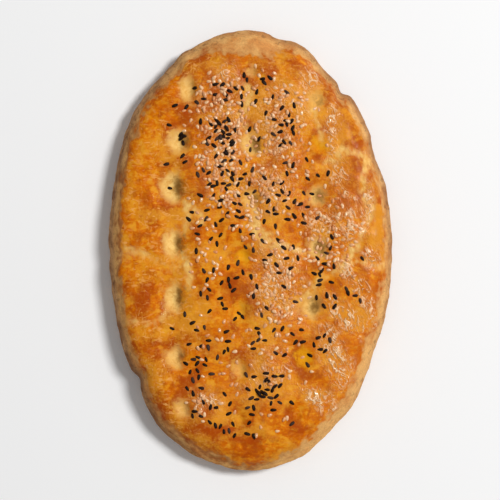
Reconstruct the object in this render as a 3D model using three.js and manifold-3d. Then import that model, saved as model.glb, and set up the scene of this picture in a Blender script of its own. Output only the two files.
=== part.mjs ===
// A barbari loaf: an oval flatbread, pressed with rows of finger dimples, glazed and scattered with
// nigella and white sesame seeds that are baked onto its crust. Millimetres, +Z up. The flat underside
// lies on z = 0, the origin is under the middle of the loaf, and the loaf's long axis runs along Y.
import * as THREE from 'three';
import { mergeVertices } from 'three/addons/utils/BufferGeometryUtils.js';
import Module from 'manifold-3d';

// ---- Driving dimensions ----

const LENGTH = 250; // along Y
const WIDTH = 161; // along X
const CROWN = 27; // height of the dough in the middle, away from the dimples
const RIM_LEVEL = 10; // mean height at which the loaf is widest
const RIM_WAVES = [ // how that height rises and falls on the way around
  { high: 1.1, times: 3, shift: 1 },
  { high: 0.7, times: 5, shift: 2.4 },
];
const SHOULDER = 0.095; // share of the radius over which the side slopes from the top down to the rim
const SHOULDER_POWER = 3.5; // how tightly the top turns down to the side
const RIM_ROUND = 0.2; // how far the side's slope rounds off where it meets the rim
const DOME = 0.09; // share of its height that the top loses from the middle to the rim
const FOOT_SHARE = 0.93; // share of the rim's radius that the flat underside reaches
const RELIEF_END = 0.84; // share of the rim's radius beyond which the top's relief fades out

// Swellings (+) and dents (-) of the rim: where, in degrees from +X, how far in mm, and over how many
// degrees each way.
const RIM_BULGES = [
  { at: 26, by: -2.1, over: 5 },
  { at: 48, by: -2.8, over: 2.2 },
  { at: 56, by: -3.1, over: 8 },
  { at: 78, by: -2.2, over: 5 },
  { at: 118, by: 1.5, over: 3 },
  { at: 144, by: 2.7, over: 13 },
  { at: 181, by: -0.9, over: 2 },
  { at: 192, by: -1.0, over: 9 },
  { at: 217, by: -3.0, over: 2.6 },
  { at: 232, by: 2.9, over: 10 },
  { at: 246, by: 1.3, over: 5 },
  { at: 292, by: 1.0, over: 5 },
  { at: 316, by: 1.5, over: 6 },
  { at: 332, by: -1.2, over: 5 },
];

// Finger dimples in three columns of seven, row by row from the +Y end: where each lies, how far it reaches
// along X and Y to half way up its side, and its depth. They are deepest in the -X column.
const DIMPLES = [
  { at: [-33.8, 89.5], half: [4.4, 7], deep: 3.6 },
  { at: [1.4, 99.2], half: [4, 4], deep: 1.6 },
  { at: [38, 83.5], half: [4.6, 6.2], deep: 1.8 },
  { at: [-38.9, 60.5], half: [5.4, 6.8], deep: 4.2 },
  { at: [1.5, 58.8], half: [5.2, 6.4], deep: 3.2 },
  { at: [38.9, 58.8], half: [4.6, 5], deep: 1.6 },
  { at: [-42.3, 34.9], half: [6, 8], deep: 4.4 },
  { at: [1.4, 28.1], half: [4.8, 5.4], deep: 3.2 },
  { at: [38.4, 29.8], half: [5.4, 6], deep: 3 },
  { at: [-42.3, 3.7], half: [4.9, 7.8], deep: 4.2 },
  { at: [-3.7, -3.1], half: [4.2, 4.2], deep: 2.4 },
  { at: [38.6, 1.4], half: [5.6, 6.2], deep: 3.6 },
  { at: [-41.8, -26.4], half: [5.4, 7.6], deep: 4.4 },
  { at: [-5.4, -34.4], half: [4.6, 6.4], deep: 3 },
  { at: [35.5, -31.5], half: [5.6, 6.2], deep: 3.6 },
  { at: [-41.2, -59.4], half: [5.2, 6.2], deep: 4 },
  { at: [-5.4, -66.8], half: [4.2, 5.6], deep: 3 },
  { at: [30.4, -59.9], half: [4.6, 5.4], deep: 1.8 },
  { at: [-37.2, -88.4], half: [4.4, 5.2], deep: 3.8 },
  { at: [-5.4, -94], half: [4.2, 5], deep: 2.2 },
  { at: [26.4, -90.1], half: [4.2, 4.6], deep: 1.4 },
];
const DIMPLE_WALL = 2.4; // how steep the side of a dimple is
const DIMPLE_SKEW = 0.15; // how much further a dimple reaches on its -X side, where the finger slid in
const SAG = { radius: 13, deep: 0.45 }; // the dough sinks around each dimple

// Valleys where the dough is drawn in between the dimples and the rim: their depth and the points that they
// follow. Their courses waver along X and Y, in waves that bend as they run.
const CREASE_WIDTH = 4.2;
const CREASE_WAVER = 2.2;
const WAVES_X = { long: 5.1, bend: 1.3, across: 7.3 };
const WAVES_Y = { long: 4.7, bend: 1.1, across: 6.9 };
const CREASES = [
  { deep: 0.7, along: [[66, 49], [62, 54], [56, 56], [50, 54], [45, 48]] },
  { deep: 0.8, along: [[-80, -1], [-68, -2], [-58, -4]] },
  { deep: 0.6, along: [[-58, -4], [-48, -8], [-38, -8]] },
  { deep: 0.6, along: [[-73, -43], [-57, -39], [-42, -34]] },
  { deep: 0.7, along: [[64, 49], [65, 36], [65, 20], [62, 5], [56, -5], [49, -11]] },
  { deep: 0.6, along: [[52, -9], [62, -7], [79, -7]] },
  { deep: 0.5, along: [[1, 22], [5, 12], [14, 2], [27, -2]] },
  { deep: 0.6, along: [[21, -35], [37, -18], [49, -8]] },
  { deep: 0.3, along: [[-28, 18], [-36, 24], [-37, 8], [-35, -22]] },
  { deep: 0.7, along: [[-3, 91], [-2, 64]] },
  { deep: 0.3, along: [[37, 82], [38, 64]] },
];

// Swells of the proofed dough: waves that bend as they run, in the direction that turn gives in degrees.
const SWELLS = [
  { high: 0.35, long: 8.7, turn: 0, shift: 0, bend: 1.4, across: 12.9 },
  { high: 0.3, long: 10.3, turn: 90, shift: 2, bend: 1.7, across: 15.1 },
  { high: 0.18, long: 3.7, turn: 45, shift: 0, bend: 1, across: 6.6 },
];

// Seeds, as long, wide and high.
const NIGELLA = { size: [3.7, 2.4, 1.9] };
const SESAME = { size: [3.0, 2.2, 1.3] };
const SEED_SCALES = { least: 0.88, more: 0.2 };
const SEED_SINK = 0.12; // share of its height by which a seed's middle lies below the crust
const SEED_GAP = 2.8; // least distance between the middles of two seeds
const SEED_TILT = 0.25; // most that a seed leans out of the crust, in radians
const SEED_REACH = 0.84; // share of the plain oval that the seeds stay inside
const SEED_TRIES = 40; // how often a seed looks for a free place
const SEED_DICE = 90210;

// Where the seeds fell: patches with a middle, a spread each way and a number of each kind.
const LANE = { half: 96, spread: 19, lean: 0.045, nigella: 92 }; // the strip sprinkled from end to end
const CLUMPS = [
  { at: [-17, 65], spread: [4, 4.5], nigella: 12, sesame: 0 },
  { at: [-15, 48], spread: [6, 5], nigella: 9, sesame: 0 },
  { at: [19, 71], spread: [6, 6], nigella: 9, sesame: 0 },
  { at: [-20, -22], spread: [4, 6], nigella: 8, sesame: 0 },
  { at: [-30, -70], spread: [4, 5], nigella: 7, sesame: 0 },
  { at: [11, -79], spread: [5, 4], nigella: 13, sesame: 0 },
  { at: [38, -52], spread: [4, 4], nigella: 7, sesame: 0 },
  { at: [27, 22], spread: [7, 8], nigella: 8, sesame: 0 },
  { at: [-12, 68], spread: [12, 14], nigella: 0, sesame: 20 },
  { at: [14, 68], spread: [11, 18], nigella: 0, sesame: 18 },
  { at: [48, 12], spread: [9, 10], nigella: 0, sesame: 12 },
  { at: [16, -30], spread: [10, 12], nigella: 0, sesame: 12 },
];

// Fineness of the faceted surface.
const SPHERE_DETAIL = 13; // cuts along each edge of the icosahedron that the loaf is shaped from
const ARC_STEPS = 60; // steps along each stretch of the loaf's cross-section
const UNDERSIDE_WEIGHT = 0.05; // share of its area that the flat underside counts for
const SLOPE_STEP = 0.5; // distance over which the crust's slope is taken
const SAME_POINT = 1e-4; // points closer than this are one

const FULL_TURN = Math.PI * 2;
const QUARTER_TURN = Math.PI / 2;
const MEAN_RADIUS = (LENGTH + WIDTH) / 4;
const SIDES = [WIDTH, LENGTH];

const { clamp, degToRad: radians, lerp, smoothstep } = THREE.MathUtils;

// A small random generator, so that every build scatters alike.
function dice(start) {
  let state = start;
  return () => {
    state = (state * 16807) % 2147483647;
    return state / 2147483647;
  };
}

const between = (range, roll) => range.least + range.more * roll();

const eitherWay = (roll) => 2 * roll() - 1;

// About a bell curve of spread 1, from three even draws.
const bell = (roll) => eitherWay(roll) + eitherWay(roll) + eitherWay(roll);

// ---- Plan: the rim ----

// The rim's radius in a direction, as a share of the plain oval's.
function rimShare(around) {
  const radius = Math.hypot((WIDTH / 2) * Math.cos(around), (LENGTH / 2) * Math.sin(around));
  let share = 1;
  for (const bulge of RIM_BULGES) {
    const turn = around - radians(bulge.at);
    const off = Math.atan2(Math.sin(turn), Math.cos(turn)) / radians(bulge.over);
    share += (bulge.by / radius) * Math.exp(-off * off);
  }
  return share;
}

// The rim's reach along X and Y, which the plan is fitted to, so that the loaf has its named size.
function rimReach() {
  const low = [0, 0];
  const high = [0, 0];
  for (let degree = 0; degree < 360; degree++) {
    const around = radians(degree);
    const point = [Math.cos(around) * rimShare(around), Math.sin(around) * rimShare(around)];
    for (const axis of [0, 1]) {
      low[axis] = Math.min(low[axis], point[axis]);
      high[axis] = Math.max(high[axis], point[axis]);
    }
  }
  return {
    middle: low.map((value, axis) => (value + high[axis]) / 2),
    extent: low.map((value, axis) => high[axis] - value),
  };
}

// From the unit oval, with its bulges, to millimetres in plan, and back.
const REACH = rimReach();
const toPlan = (value, axis) => ((value - REACH.middle[axis]) * SIDES[axis]) / REACH.extent[axis];
const fromPlan = (value, axis) => (value * REACH.extent[axis]) / SIDES[axis] + REACH.middle[axis];

// A point in plan at a share rho of the rim's radius.
function planPoint(rho, around) {
  const radius = rho * rimShare(around);
  return [toPlan(radius * Math.cos(around), 0), toPlan(radius * Math.sin(around), 1)];
}

// ---- Relief of the top ----

function dimpleDepth(x, y) {
  let depth = 0;
  for (const { at, half, deep } of DIMPLES) {
    const dx = x - at[0];
    const dy = y - at[1];
    const skew = 1 - DIMPLE_SKEW * Math.sign(dx);
    const apart = Math.hypot(dx / half[0] / skew, dy / half[1]);
    depth += deep / (1 + apart ** DIMPLE_WALL);
    depth += SAG.deep * Math.exp(-(dx * dx + dy * dy) / SAG.radius ** 2);
  }
  return depth;
}

function distanceToLine(x, y, points) {
  let nearest = Infinity;
  for (let i = 1; i < points.length; i++) {
    const [ax, ay] = points[i - 1];
    const [bx, by] = points[i];
    const length2 = (bx - ax) ** 2 + (by - ay) ** 2;
    const t = clamp(((x - ax) * (bx - ax) + (y - ay) * (by - ay)) / length2, 0, 1);
    nearest = Math.min(nearest, Math.hypot(x - ax - t * (bx - ax), y - ay - t * (by - ay)));
  }
  return nearest;
}

// A wave from -1 to 1 that runs along one way and bends across it.
const bentWave = (waves, along, aside) =>
  Math.sin(along / waves.long + waves.bend * Math.sin(aside / waves.across));

function creaseDepth(x, y) {
  const waveredX = x + CREASE_WAVER * bentWave(WAVES_X, y, x);
  const waveredY = y + CREASE_WAVER * bentWave(WAVES_Y, waveredX, y);
  let depth = 0;
  for (const crease of CREASES) {
    const off = distanceToLine(waveredX, waveredY, crease.along) / CREASE_WIDTH;
    depth = Math.max(depth, crease.deep * Math.exp(-off * off));
  }
  return depth;
}

function swellHeight(x, y) {
  let height = 0;
  for (const { high, long, turn, shift, bend, across } of SWELLS) {
    const along = x * Math.cos(radians(turn)) + y * Math.sin(radians(turn));
    const aside = y * Math.cos(radians(turn)) - x * Math.sin(radians(turn));
    height += high * Math.sin(along / long + bend * Math.sin(aside / across) + shift);
  }
  return height;
}

// ---- The crust's height over a point in plan ----

function rimLevel(around) {
  let level = RIM_LEVEL;
  for (const wave of RIM_WAVES) level += wave.high * Math.sin(wave.times * around + wave.shift);
  return level;
}

// The top's height above the rim at a share rho of the radius, as a share of the crown's.
function profile(rho) {
  const inward = (1 - rho) / SHOULDER;
  const slope = Math.sqrt(inward * (inward + RIM_ROUND));
  const shoulder = slope / (1 + slope ** SHOULDER_POWER) ** (1 / SHOULDER_POWER);
  return shoulder * (1 - DOME * rho * rho);
}

function crust(x, y) {
  const u = fromPlan(x, 0);
  const v = fromPlan(y, 1);
  const around = Math.atan2(v, u);
  const rho = Math.min(1, Math.hypot(u, v) / rimShare(around));
  const level = rimLevel(around);
  const relief = swellHeight(x, y) - dimpleDepth(x, y) - creaseDepth(x, y) + SAG.deep;
  return level + (CROWN - level) * profile(rho) + relief * (1 - smoothstep(rho, RELIEF_END, 1));
}

// ---- The loaf ----

// The cross-section from the middle of the top, over the rim and under to the middle of the underside,
// with the area of crust up to each point. On the side wall and the underside, drop is the share of the
// rim's level that is left.
function crossSection() {
  const stretches = [
    { weight: 1, rho: (t) => Math.sin(t * QUARTER_TURN), drop: () => null },
    {
      weight: 1,
      rho: (t) => 1 - (1 - FOOT_SHARE) * (1 - Math.cos(t * QUARTER_TURN)),
      drop: (t) => 1 - Math.sin(t * QUARTER_TURN),
    },
    { weight: UNDERSIDE_WEIGHT, rho: (t) => FOOT_SHARE * (1 - t), drop: () => 0 },
  ];
  const height = (rho, drop) =>
    drop === null ? RIM_LEVEL + (CROWN - RIM_LEVEL) * profile(rho) : RIM_LEVEL * drop;
  const points = [{ rho: 0, drop: null, area: 0 }];
  for (const stretch of stretches) {
    for (let step = 1; step <= ARC_STEPS; step++) {
      const last = points.at(-1);
      const rho = stretch.rho(step / ARC_STEPS);
      const drop = stretch.drop(step / ARC_STEPS);
      const rise = height(rho, drop) - height(last.rho, last.drop);
      const slant = Math.hypot(MEAN_RADIUS * (rho - last.rho), rise);
      points.push({ rho, drop, area: last.area + stretch.weight * (rho + last.rho) * slant });
    }
  }
  return points;
}

// The point of the cross-section that has a given share of the area before it.
function sectionAt(section, share) {
  const area = share * section.at(-1).area;
  const next = Math.max(1, section.findIndex((point) => point.area >= area));
  const [a, b] = [section[next - 1], section[next]];
  const t = (area - a.area) / (b.area - a.area || 1);
  const drop = b.drop === null ? null : lerp(a.drop ?? 1, b.drop, t);
  return { rho: lerp(a.rho, b.rho, t), drop };
}

// A sphere of even triangles, with each level of it carried to the same share of the loaf's crust.
function loafGeometry() {
  const section = crossSection();
  const geometry = new THREE.IcosahedronGeometry(1, SPHERE_DETAIL);
  const position = geometry.getAttribute('position');
  for (let i = 0; i < position.count; i++) {
    const around = Math.atan2(position.getY(i), position.getX(i));
    const { rho, drop } = sectionAt(section, clamp((1 - position.getZ(i)) / 2, 0, 1));
    const [x, y] = planPoint(rho, around);
    position.setXYZ(i, x, y, drop === null ? crust(x, y) : rimLevel(around) * drop);
  }
  return geometry;
}

// ---- The seeds ----

// Drops the seeds one by one, each where no other lies yet.
function scatter() {
  const roll = dice(SEED_DICE);
  const seeds = [];
  const drop = (kind, draw) => {
    for (let tries = 0; tries < SEED_TRIES; tries++) {
      const [x, y] = draw();
      const inside = Math.hypot((2 * x) / WIDTH, (2 * y) / LENGTH) < SEED_REACH;
      const free = seeds.every((other) => Math.hypot(other.x - x, other.y - y) > SEED_GAP);
      if (!inside || !free) continue;
      const tilt = SEED_TILT * eitherWay(roll);
      const turn = FULL_TURN * roll();
      seeds.push({ kind, x, y, tilt, turn, scale: between(SEED_SCALES, roll) });
      return;
    }
  };
  for (const { at, spread, nigella, sesame } of CLUMPS) {
    const draw = () => [at[0] + spread[0] * bell(roll), at[1] + spread[1] * bell(roll)];
    for (let i = 0; i < nigella; i++) drop(NIGELLA, draw);
    for (let i = 0; i < sesame; i++) drop(SESAME, draw);
  }
  for (let i = 0; i < LANE.nigella; i++) {
    drop(NIGELLA, () => {
      const y = LANE.half * eitherWay(roll);
      return [LANE.lean * y + LANE.spread * bell(roll), y];
    });
  }
  return seeds;
}

// The crust's outward direction over a point in plan.
function crustNormal(x, y) {
  const slopeX = (crust(x + SLOPE_STEP, y) - crust(x - SLOPE_STEP, y)) / (2 * SLOPE_STEP);
  const slopeY = (crust(x, y + SLOPE_STEP) - crust(x, y - SLOPE_STEP)) / (2 * SLOPE_STEP);
  return new THREE.Vector3(-slopeX, -slopeY, 1).normalize();
}

// One seed, long along its own X, laid on the crust at its place.
function seedGeometry({ kind, x, y, tilt, turn, scale }) {
  const [long, wide, high] = kind.size;
  const up = crustNormal(x, y);
  const stand = new THREE.Quaternion().setFromUnitVectors(new THREE.Vector3(0, 0, 1), up);
  const lie = new THREE.Quaternion().setFromEuler(new THREE.Euler(0, tilt, turn, 'ZYX'));
  const centre = new THREE.Vector3(x, y, crust(x, y)).addScaledVector(up, -SEED_SINK * high);
  const half = new THREE.Vector3(long, wide, high).multiplyScalar(scale / 2);
  const place = new THREE.Matrix4().compose(centre, stand.multiply(lie), half);
  return new THREE.IcosahedronGeometry(1, 0).applyMatrix4(place);
}

// ---- One solid: the seeds are joined to the loaf ----

const wasm = await Module();
wasm.setup();

function solidOf(geometry) {
  geometry.deleteAttribute('normal');
  geometry.deleteAttribute('uv');
  const merged = mergeVertices(geometry, SAME_POINT);
  const vertProperties = new Float32Array(merged.getAttribute('position').array);
  const triVerts = new Uint32Array(merged.index.array);
  return new wasm.Manifold(new wasm.Mesh({ numProp: 3, vertProperties, triVerts }));
}

function geometryOf(solid) {
  const mesh = solid.getMesh();
  const geometry = new THREE.BufferGeometry();
  geometry.setAttribute('position', new THREE.BufferAttribute(mesh.vertProperties, 3));
  geometry.setIndex(new THREE.BufferAttribute(mesh.triVerts, 1));
  geometry.computeVertexNormals();
  return geometry;
}

const seedSolids = scatter().map((seed) => solidOf(seedGeometry(seed)));
const solid = wasm.Manifold.union([solidOf(loafGeometry()), ...seedSolids]);

const glazedCrust = new THREE.MeshStandardMaterial({ color: 0xcb7a24, roughness: 0.35, metalness: 0 });
const bread = new THREE.Mesh(geometryOf(solid), glazedCrust);
bread.name = 'bread';

const loaf = new THREE.Group();
loaf.add(bread);
export default loaf;
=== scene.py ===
import math

import bmesh
import bpy
import numpy as np
from bpy.props import FloatProperty, FloatVectorProperty, IntProperty, PointerProperty
from mathutils import Euler, Matrix, Vector, noise


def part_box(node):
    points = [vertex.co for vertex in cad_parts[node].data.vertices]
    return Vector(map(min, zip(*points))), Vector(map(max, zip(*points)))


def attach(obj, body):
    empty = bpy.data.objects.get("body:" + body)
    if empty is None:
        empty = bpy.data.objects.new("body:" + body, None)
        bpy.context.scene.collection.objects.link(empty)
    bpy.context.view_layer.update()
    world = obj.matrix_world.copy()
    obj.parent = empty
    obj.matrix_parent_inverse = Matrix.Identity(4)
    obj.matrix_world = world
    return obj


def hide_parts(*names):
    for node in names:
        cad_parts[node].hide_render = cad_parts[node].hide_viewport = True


bl_info = {
    "name": "Barbari loaf",
    "version": (1, 0, 0),
    "blender": (4, 5, 0),
    "location": "View3D > Sidebar > Bread",
    "description": "Makes a glazed, finger-dimpled barbari loaf with nigella and sesame seeds on it",
    "category": "Add Mesh",
}

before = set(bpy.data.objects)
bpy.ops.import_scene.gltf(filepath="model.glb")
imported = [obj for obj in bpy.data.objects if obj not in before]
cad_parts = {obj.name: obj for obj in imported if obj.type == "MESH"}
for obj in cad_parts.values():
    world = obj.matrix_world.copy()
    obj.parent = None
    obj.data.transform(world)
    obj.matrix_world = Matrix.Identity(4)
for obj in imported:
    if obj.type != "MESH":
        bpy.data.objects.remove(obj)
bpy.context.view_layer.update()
LOAF_LOW, LOAF_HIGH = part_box("bread")

MM = 0.001  # the form's functions work in millimetres, and meshes are in metres

# ---- The loaf's form, as the solid has it ----

RIM_WAVES = ((1.1, 3, 1), (0.7, 5, 2.4))  # how the rim rises and falls: high, times around, shift
SHOULDER = 0.095  # share of the radius over which the side slopes from the top down to the rim
SHOULDER_POWER = 3.5  # how tightly the top turns down to the side
RIM_ROUND = 0.2  # how far the side's slope rounds off where it meets the rim
DOME = 0.09  # share of its height that the top loses from the middle to the rim
FOOT_SHARE = 0.93  # share of the rim's radius that the flat underside reaches
RELIEF_END = 0.84  # share of the rim's radius beyond which the top's relief fades out

# Swellings (+) and dents (-) of the rim: where, in degrees from +X, how far, and over how many degrees.
RIM_BULGES = (
    (26, -2.1, 5),
    (48, -2.8, 2.2),
    (56, -3.1, 8),
    (78, -2.2, 5),
    (118, 1.5, 3),
    (144, 2.7, 13),
    (181, -0.9, 2),
    (192, -1.0, 9),
    (217, -3.0, 2.6),
    (232, 2.9, 10),
    (246, 1.3, 5),
    (292, 1.0, 5),
    (316, 1.5, 6),
    (332, -1.2, 5),
)

# Finger dimples, row by row from the +Y end, left to right: where each lies, how far it reaches along X and Y
# to half way up its side, its depth, how much pale dough shows in it and how much egg yolk has pooled in it.
DIMPLES = (
    ((-33.8, 89.5), (4.4, 7.0), 3.6, 0.8, 0.3),
    ((1.4, 99.2), (4.0, 4.0), 1.6, 0.5, 0.0),
    ((38.0, 83.5), (4.6, 6.2), 1.8, 0.6, 0.2),
    ((-38.9, 60.5), (5.4, 6.8), 4.2, 0.9, 0.2),
    ((1.5, 58.8), (5.2, 6.4), 3.2, 0.9, 0.1),
    ((38.9, 58.8), (4.6, 5.0), 1.6, 0.1, 0.7),
    ((-42.3, 34.9), (6.0, 8.0), 4.4, 1.0, 0.0),
    ((1.4, 28.1), (4.8, 5.4), 3.2, 0.7, 0.3),
    ((38.4, 29.8), (5.4, 6.0), 3.0, 0.8, 0.1),
    ((-42.3, 3.7), (4.9, 7.8), 4.2, 1.0, 0.0),
    ((-3.7, -3.1), (4.2, 4.2), 2.4, 0.1, 1.0),
    ((38.6, 1.4), (5.6, 6.2), 3.6, 0.9, 0.1),
    ((-41.8, -26.4), (5.4, 7.6), 4.4, 0.95, 0.0),
    ((-5.4, -34.4), (4.6, 6.4), 3.0, 0.2, 0.9),
    ((35.5, -31.5), (5.6, 6.2), 3.6, 0.9, 0.0),
    ((-41.2, -59.4), (5.2, 6.2), 4.0, 0.8, 0.2),
    ((-5.4, -66.8), (4.2, 5.6), 3.0, 0.5, 0.5),
    ((30.4, -59.9), (4.6, 5.4), 1.8, 0.0, 0.9),
    ((-37.2, -88.4), (4.4, 5.2), 3.8, 0.65, 0.3),
    ((-5.4, -94.0), (4.2, 5.0), 2.2, 0.2, 0.6),
    ((26.4, -90.1), (4.2, 4.6), 1.4, 0.0, 0.1),
)
DIMPLE_WALL = 2.4  # how steep the side of a dimple is
DIMPLE_SKEW = 0.15  # how much further a dimple reaches on its -X side, where the finger slid in
SAG_RADIUS = 13  # how far around a dimple the dough sags towards it
SAG_DEPTH = 0.45

CREASE_WIDTH = 4.2  # how far from its middle a valley has lost most of its depth
CREASE_PALE = 2.9  # and most of its paleness
CREASE_WAVER = 2.2  # how far a valley strays to either side of its line
WAVES_X = (5.1, 1.3, 7.3)  # the waves by which it strays along X and along Y: long, bend, across
WAVES_Y = (4.7, 1.1, 6.9)

# Valleys where the dough is drawn in between the dimples and the rim: depth, how pale, and the points that
# each follows.
CREASES = (
    (0.7, 0.75, ((66, 49), (62, 54), (56, 56), (50, 54), (45, 48))),
    (0.8, 0.5, ((-80, -1), (-68, -2), (-58, -4))),
    (0.6, 0.3, ((-58, -4), (-48, -8), (-38, -8))),
    (0.6, 0.4, ((-73, -43), (-57, -39), (-42, -34))),
    (0.7, 0.7, ((64, 49), (65, 36), (65, 20), (62, 5), (56, -5), (49, -11))),
    (0.6, 0.6, ((52, -9), (62, -7), (79, -7))),
    (0.5, 0.8, ((1, 22), (5, 12), (14, 2), (27, -2))),
    (0.6, 0.5, ((21, -35), (37, -18), (49, -8))),
    (0.3, 0.6, ((-28, 18), (-36, 24), (-37, 8), (-35, -22))),
    (0.7, 0.7, ((-3, 91), (-2, 64))),
    (0.3, 0.5, ((37, 82), (38, 64))),
)

# Swells of the proofed dough: high, long, turn in degrees, shift, bend, across.
SWELLS = (
    (0.35, 8.7, 0, 0, 1.4, 12.9),
    (0.3, 10.3, 90, 2, 1.7, 15.1),
    (0.18, 3.7, 45, 0, 1, 6.6),
)

# ---- Fineness of the mesh ----

SPHERE_CUTS = 98  # cuts along each edge of the icosahedron that the loaf is shaped from
ARC_STEPS = 60  # steps of the cross-section from the middle of the top to the rim
UNDERSIDE_WEIGHT = 0.05  # how fine the mesh is on the underside, where the top has 1

# ---- The baked skin ----

# How far in from the rim the egg glaze reaches: degrees from +X, share of the rim's radius.
GLAZE_EDGE = (
    (0, 0.94),
    (35, 0.935),
    (60, 0.945),
    (72, 0.94),
    (84, 0.88),
    (98, 0.885),
    (112, 0.945),
    (135, 0.935),
    (160, 0.92),
    (180, 0.905),
    (205, 0.92),
    (230, 0.94),
    (255, 0.95),
    (266, 0.975),
    (275, 0.965),
    (287, 0.935),
    (320, 0.905),
    (345, 0.93),
)

# How dark a line the glaze ends in: degrees from +X, strength.
EDGE_LINE = (
    (0, 0.2),
    (100, 0.25),
    (120, 0.5),
    (140, 0.4),
    (160, 0.75),
    (185, 0.75),
    (203, 0.2),
    (222, 0.25),
    (240, 0.6),
    (265, 0.55),
    (290, 0.2),
)

# Where the glaze is painted browner, with painted shade among it: middle, spread along and across, turn in
# degrees, strength.
# Browned crust, and painted shade: darker towards the lower left, and a painted darkening along the +X side
# that offsets the key light.
BROWNED_AND_SHADED = (
    ((-62, 8), (4, 5), 0, 0.5),
    ((-54, 19), (3, 3), 0, 0.4),
    ((-60, -27), (3.5, 8), 0, 0.6),
    ((-10, -19), (4, 5), 0, 0.6),
    ((2, -31), (3, 6), 0, 0.5),
    ((46, 82), (6, 4), 0, 0.4),
    ((38, -65), (5, 4), 0, 0.4),
    ((-30, -70), (4, 8), 0, 0.4),
    ((-14, 104), (10, 4), 0, 0.3),
    ((-20, -104), (20, 14), 0, 0.8),
    ((75, 12), (6, 20), 0, 0.5),
    ((66, 46), (11, 24), 0, 0.5),
    ((48, 82), (10, 16), 0, 0.4),
    ((0, 120), (44, 8), 0, 0.5),
    ((0, 88), (34, 14), 0, 0.4),
    ((-66, -66), (5, 14), 0, 1),
    ((-52, -92), (7, 9), 0, 1),
    ((70, -4), (9, 50), 0, 0.2),
    ((-62, -68), (12, 26), 0, 0.5),
    ((-24, -84), (8, 8), 0, 0.3),
    ((-46, -48), (14, 14), 0, 0.25),
    ((-42, -94), (14, 12), 0, 0.45),
)

# Where the drying glaze wrinkled, by the same columns.
WRINKLES = (
    ((-12, 97), (9, 7), 0, 0.6),
    ((-26, 88), (6, 8), 0, 0.5),
    ((34, 94), (5, 9), 0, 1),
    ((22, 80), (14, 10), -35, 0.45),
    ((45, 66), (14, 3.5), 85, 1),
    ((61, 54), (8, 3.5), 0, 0.4),
    ((-14, 60), (24, 11), 80, 0.45),
    ((14, 62), (24, 10), 90, 0.45),
    ((12, 34), (14, 12), 80, 0.6),
    ((49, 42), (9, 5), 90, 0.8),
    ((54, 31.5), (7, 1.4), -35, 1),
    ((40, 17), (13, 9), 80, 0.6),
    ((56, 15), (7, 9), 0, 1),
    ((66, 27), (19, 2.4), 88, 0.7),
    ((68, -4), (5, 6), 0, 0.9),
    ((15, -18), (20, 12), 90, 0.7),
    ((62, -23), (18, 4.5), -55, 1),
    ((69, -42), (9, 3.5), -85, 0.9),
    ((54, -38), (16, 5), -45, 1),
    ((44, -30), (5, 7), 0, 0.5),
    ((44, -48), (10, 5), -60, 0.9),
    ((49, -65), (12, 7), -60, 1),
    ((41, -85), (12, 5), -32, 1),
    ((10, -70), (16, 12), 60, 0.5),
    ((-24, -84), (9, 7), 0, 0.6),
)

# Where sesame lies so thick that the glaze between is crumbed and specked with painted shade, by the same
# columns.
SOWN = (
    ((-14, 66), (12, 26), 0, 1),
    ((16, 68), (12, 24), 0, 1),
    ((4, 34), (22, 12), 0, 0.8),
    ((42, 12), (12, 15), 0, 1),
    ((15, -22), (12, 18), 0, 0.9),
    ((10, -60), (18, 18), 0, 0.4),
)

BROWNED_REACH = 1.2  # where a patch has lost most of its strength, as a share of its spread
WRINKLES_REACH = 1.15
SOWN_REACH = 1

# How a dimple's looks fade: where each is full and where it is gone, and 1 is half way up its side.
MATT_FADE = (0.8, 1.9)
YOLK_FADE = (0, 1.8)
# The third fades the dark painted shade on a dimple's +X side, whose wall is turned from the key light.
SHADE_FADE = (-0.1, 1.5)
PALE_FADE = (0.1, 1.8)
PALE_FADE_LEFT = (0.3, -0.1)  # what is added to it on the dimple's -X side
LEFT_SIDE = (0.8, -0.4)  # from where to where that side begins, as shares of its reach
SHADE_SHIFT = (2.4, -0.045)  # how far towards +X of its middle a dimple's painted shade lies: at x = 0, and per millimetre
SHADE_SHARE = (0.95, -0.0015)  # how strong that painted shade is: at x = 0, and per millimetre of x
RING_SHIFT = 4  # how far towards +X the browner ring around a dimple lies, in millimetres
RING = (2, 0.5)  # where the ring lies and how wide it is

# The skin's unevenness: size of its bumps in millimetres, octaves, and where its noise starts.
BROAD = (16, 2, 1)
MIDDLING = (6, 3, 2)
FINE = (2.6, 2, 3)
RIDGES = (2.6, 1, 4)
WALL_LUMPS = (7, 3, 6)
WALL_SQUEEZE = (1, 1, 1.8)  # the lumps of the side wall are wider than high
SCORCH_PITS = (9, 3, 7)
CREASE_BREAKS = (5, 3, 8)
NOISE_STEP = (17.3, -9.1, 5.7)  # how far apart two starts lie in the noise

# What the unevenness does to the skin: relief in millimetres, and shares of the rim's radius.
GLAZE_RELIEF = 0.28
RIDGE_RELIEF = 0.3
RIDGE_BEND = 1.5  # how far the fine unevenness bends a ridge
RIDGE_THINNESS = 3.5
LUMP_RELIEF = 0.45
WALL_RELIEF = 0.2
PIT_RELIEF = 0.35
DIMPLE_WAVER = (1.4, 0.7)  # in millimetres, with the middling and with the fine unevenness
EDGE_WAVER = (0.03, 0.02)
EDGE_FADE = 0.03
EDGE_AT, EDGE_WIDTH = 0.008, 0.017  # the dark line along the edge of the glaze

SUNNY_SIDE = 0.5  # direction of the rim's side toward the key light, in radians from +X: there a browner line runs inside the glaze's edge, and the side wall is painted a little darker to offset the key light
PAINTED_LIGHT_END, PAINTED_LIGHT_END_SPREAD = 282, 26  # direction of the end where the wall is painted paler, painted light against the shade that the key light leaves there, in degrees
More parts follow.
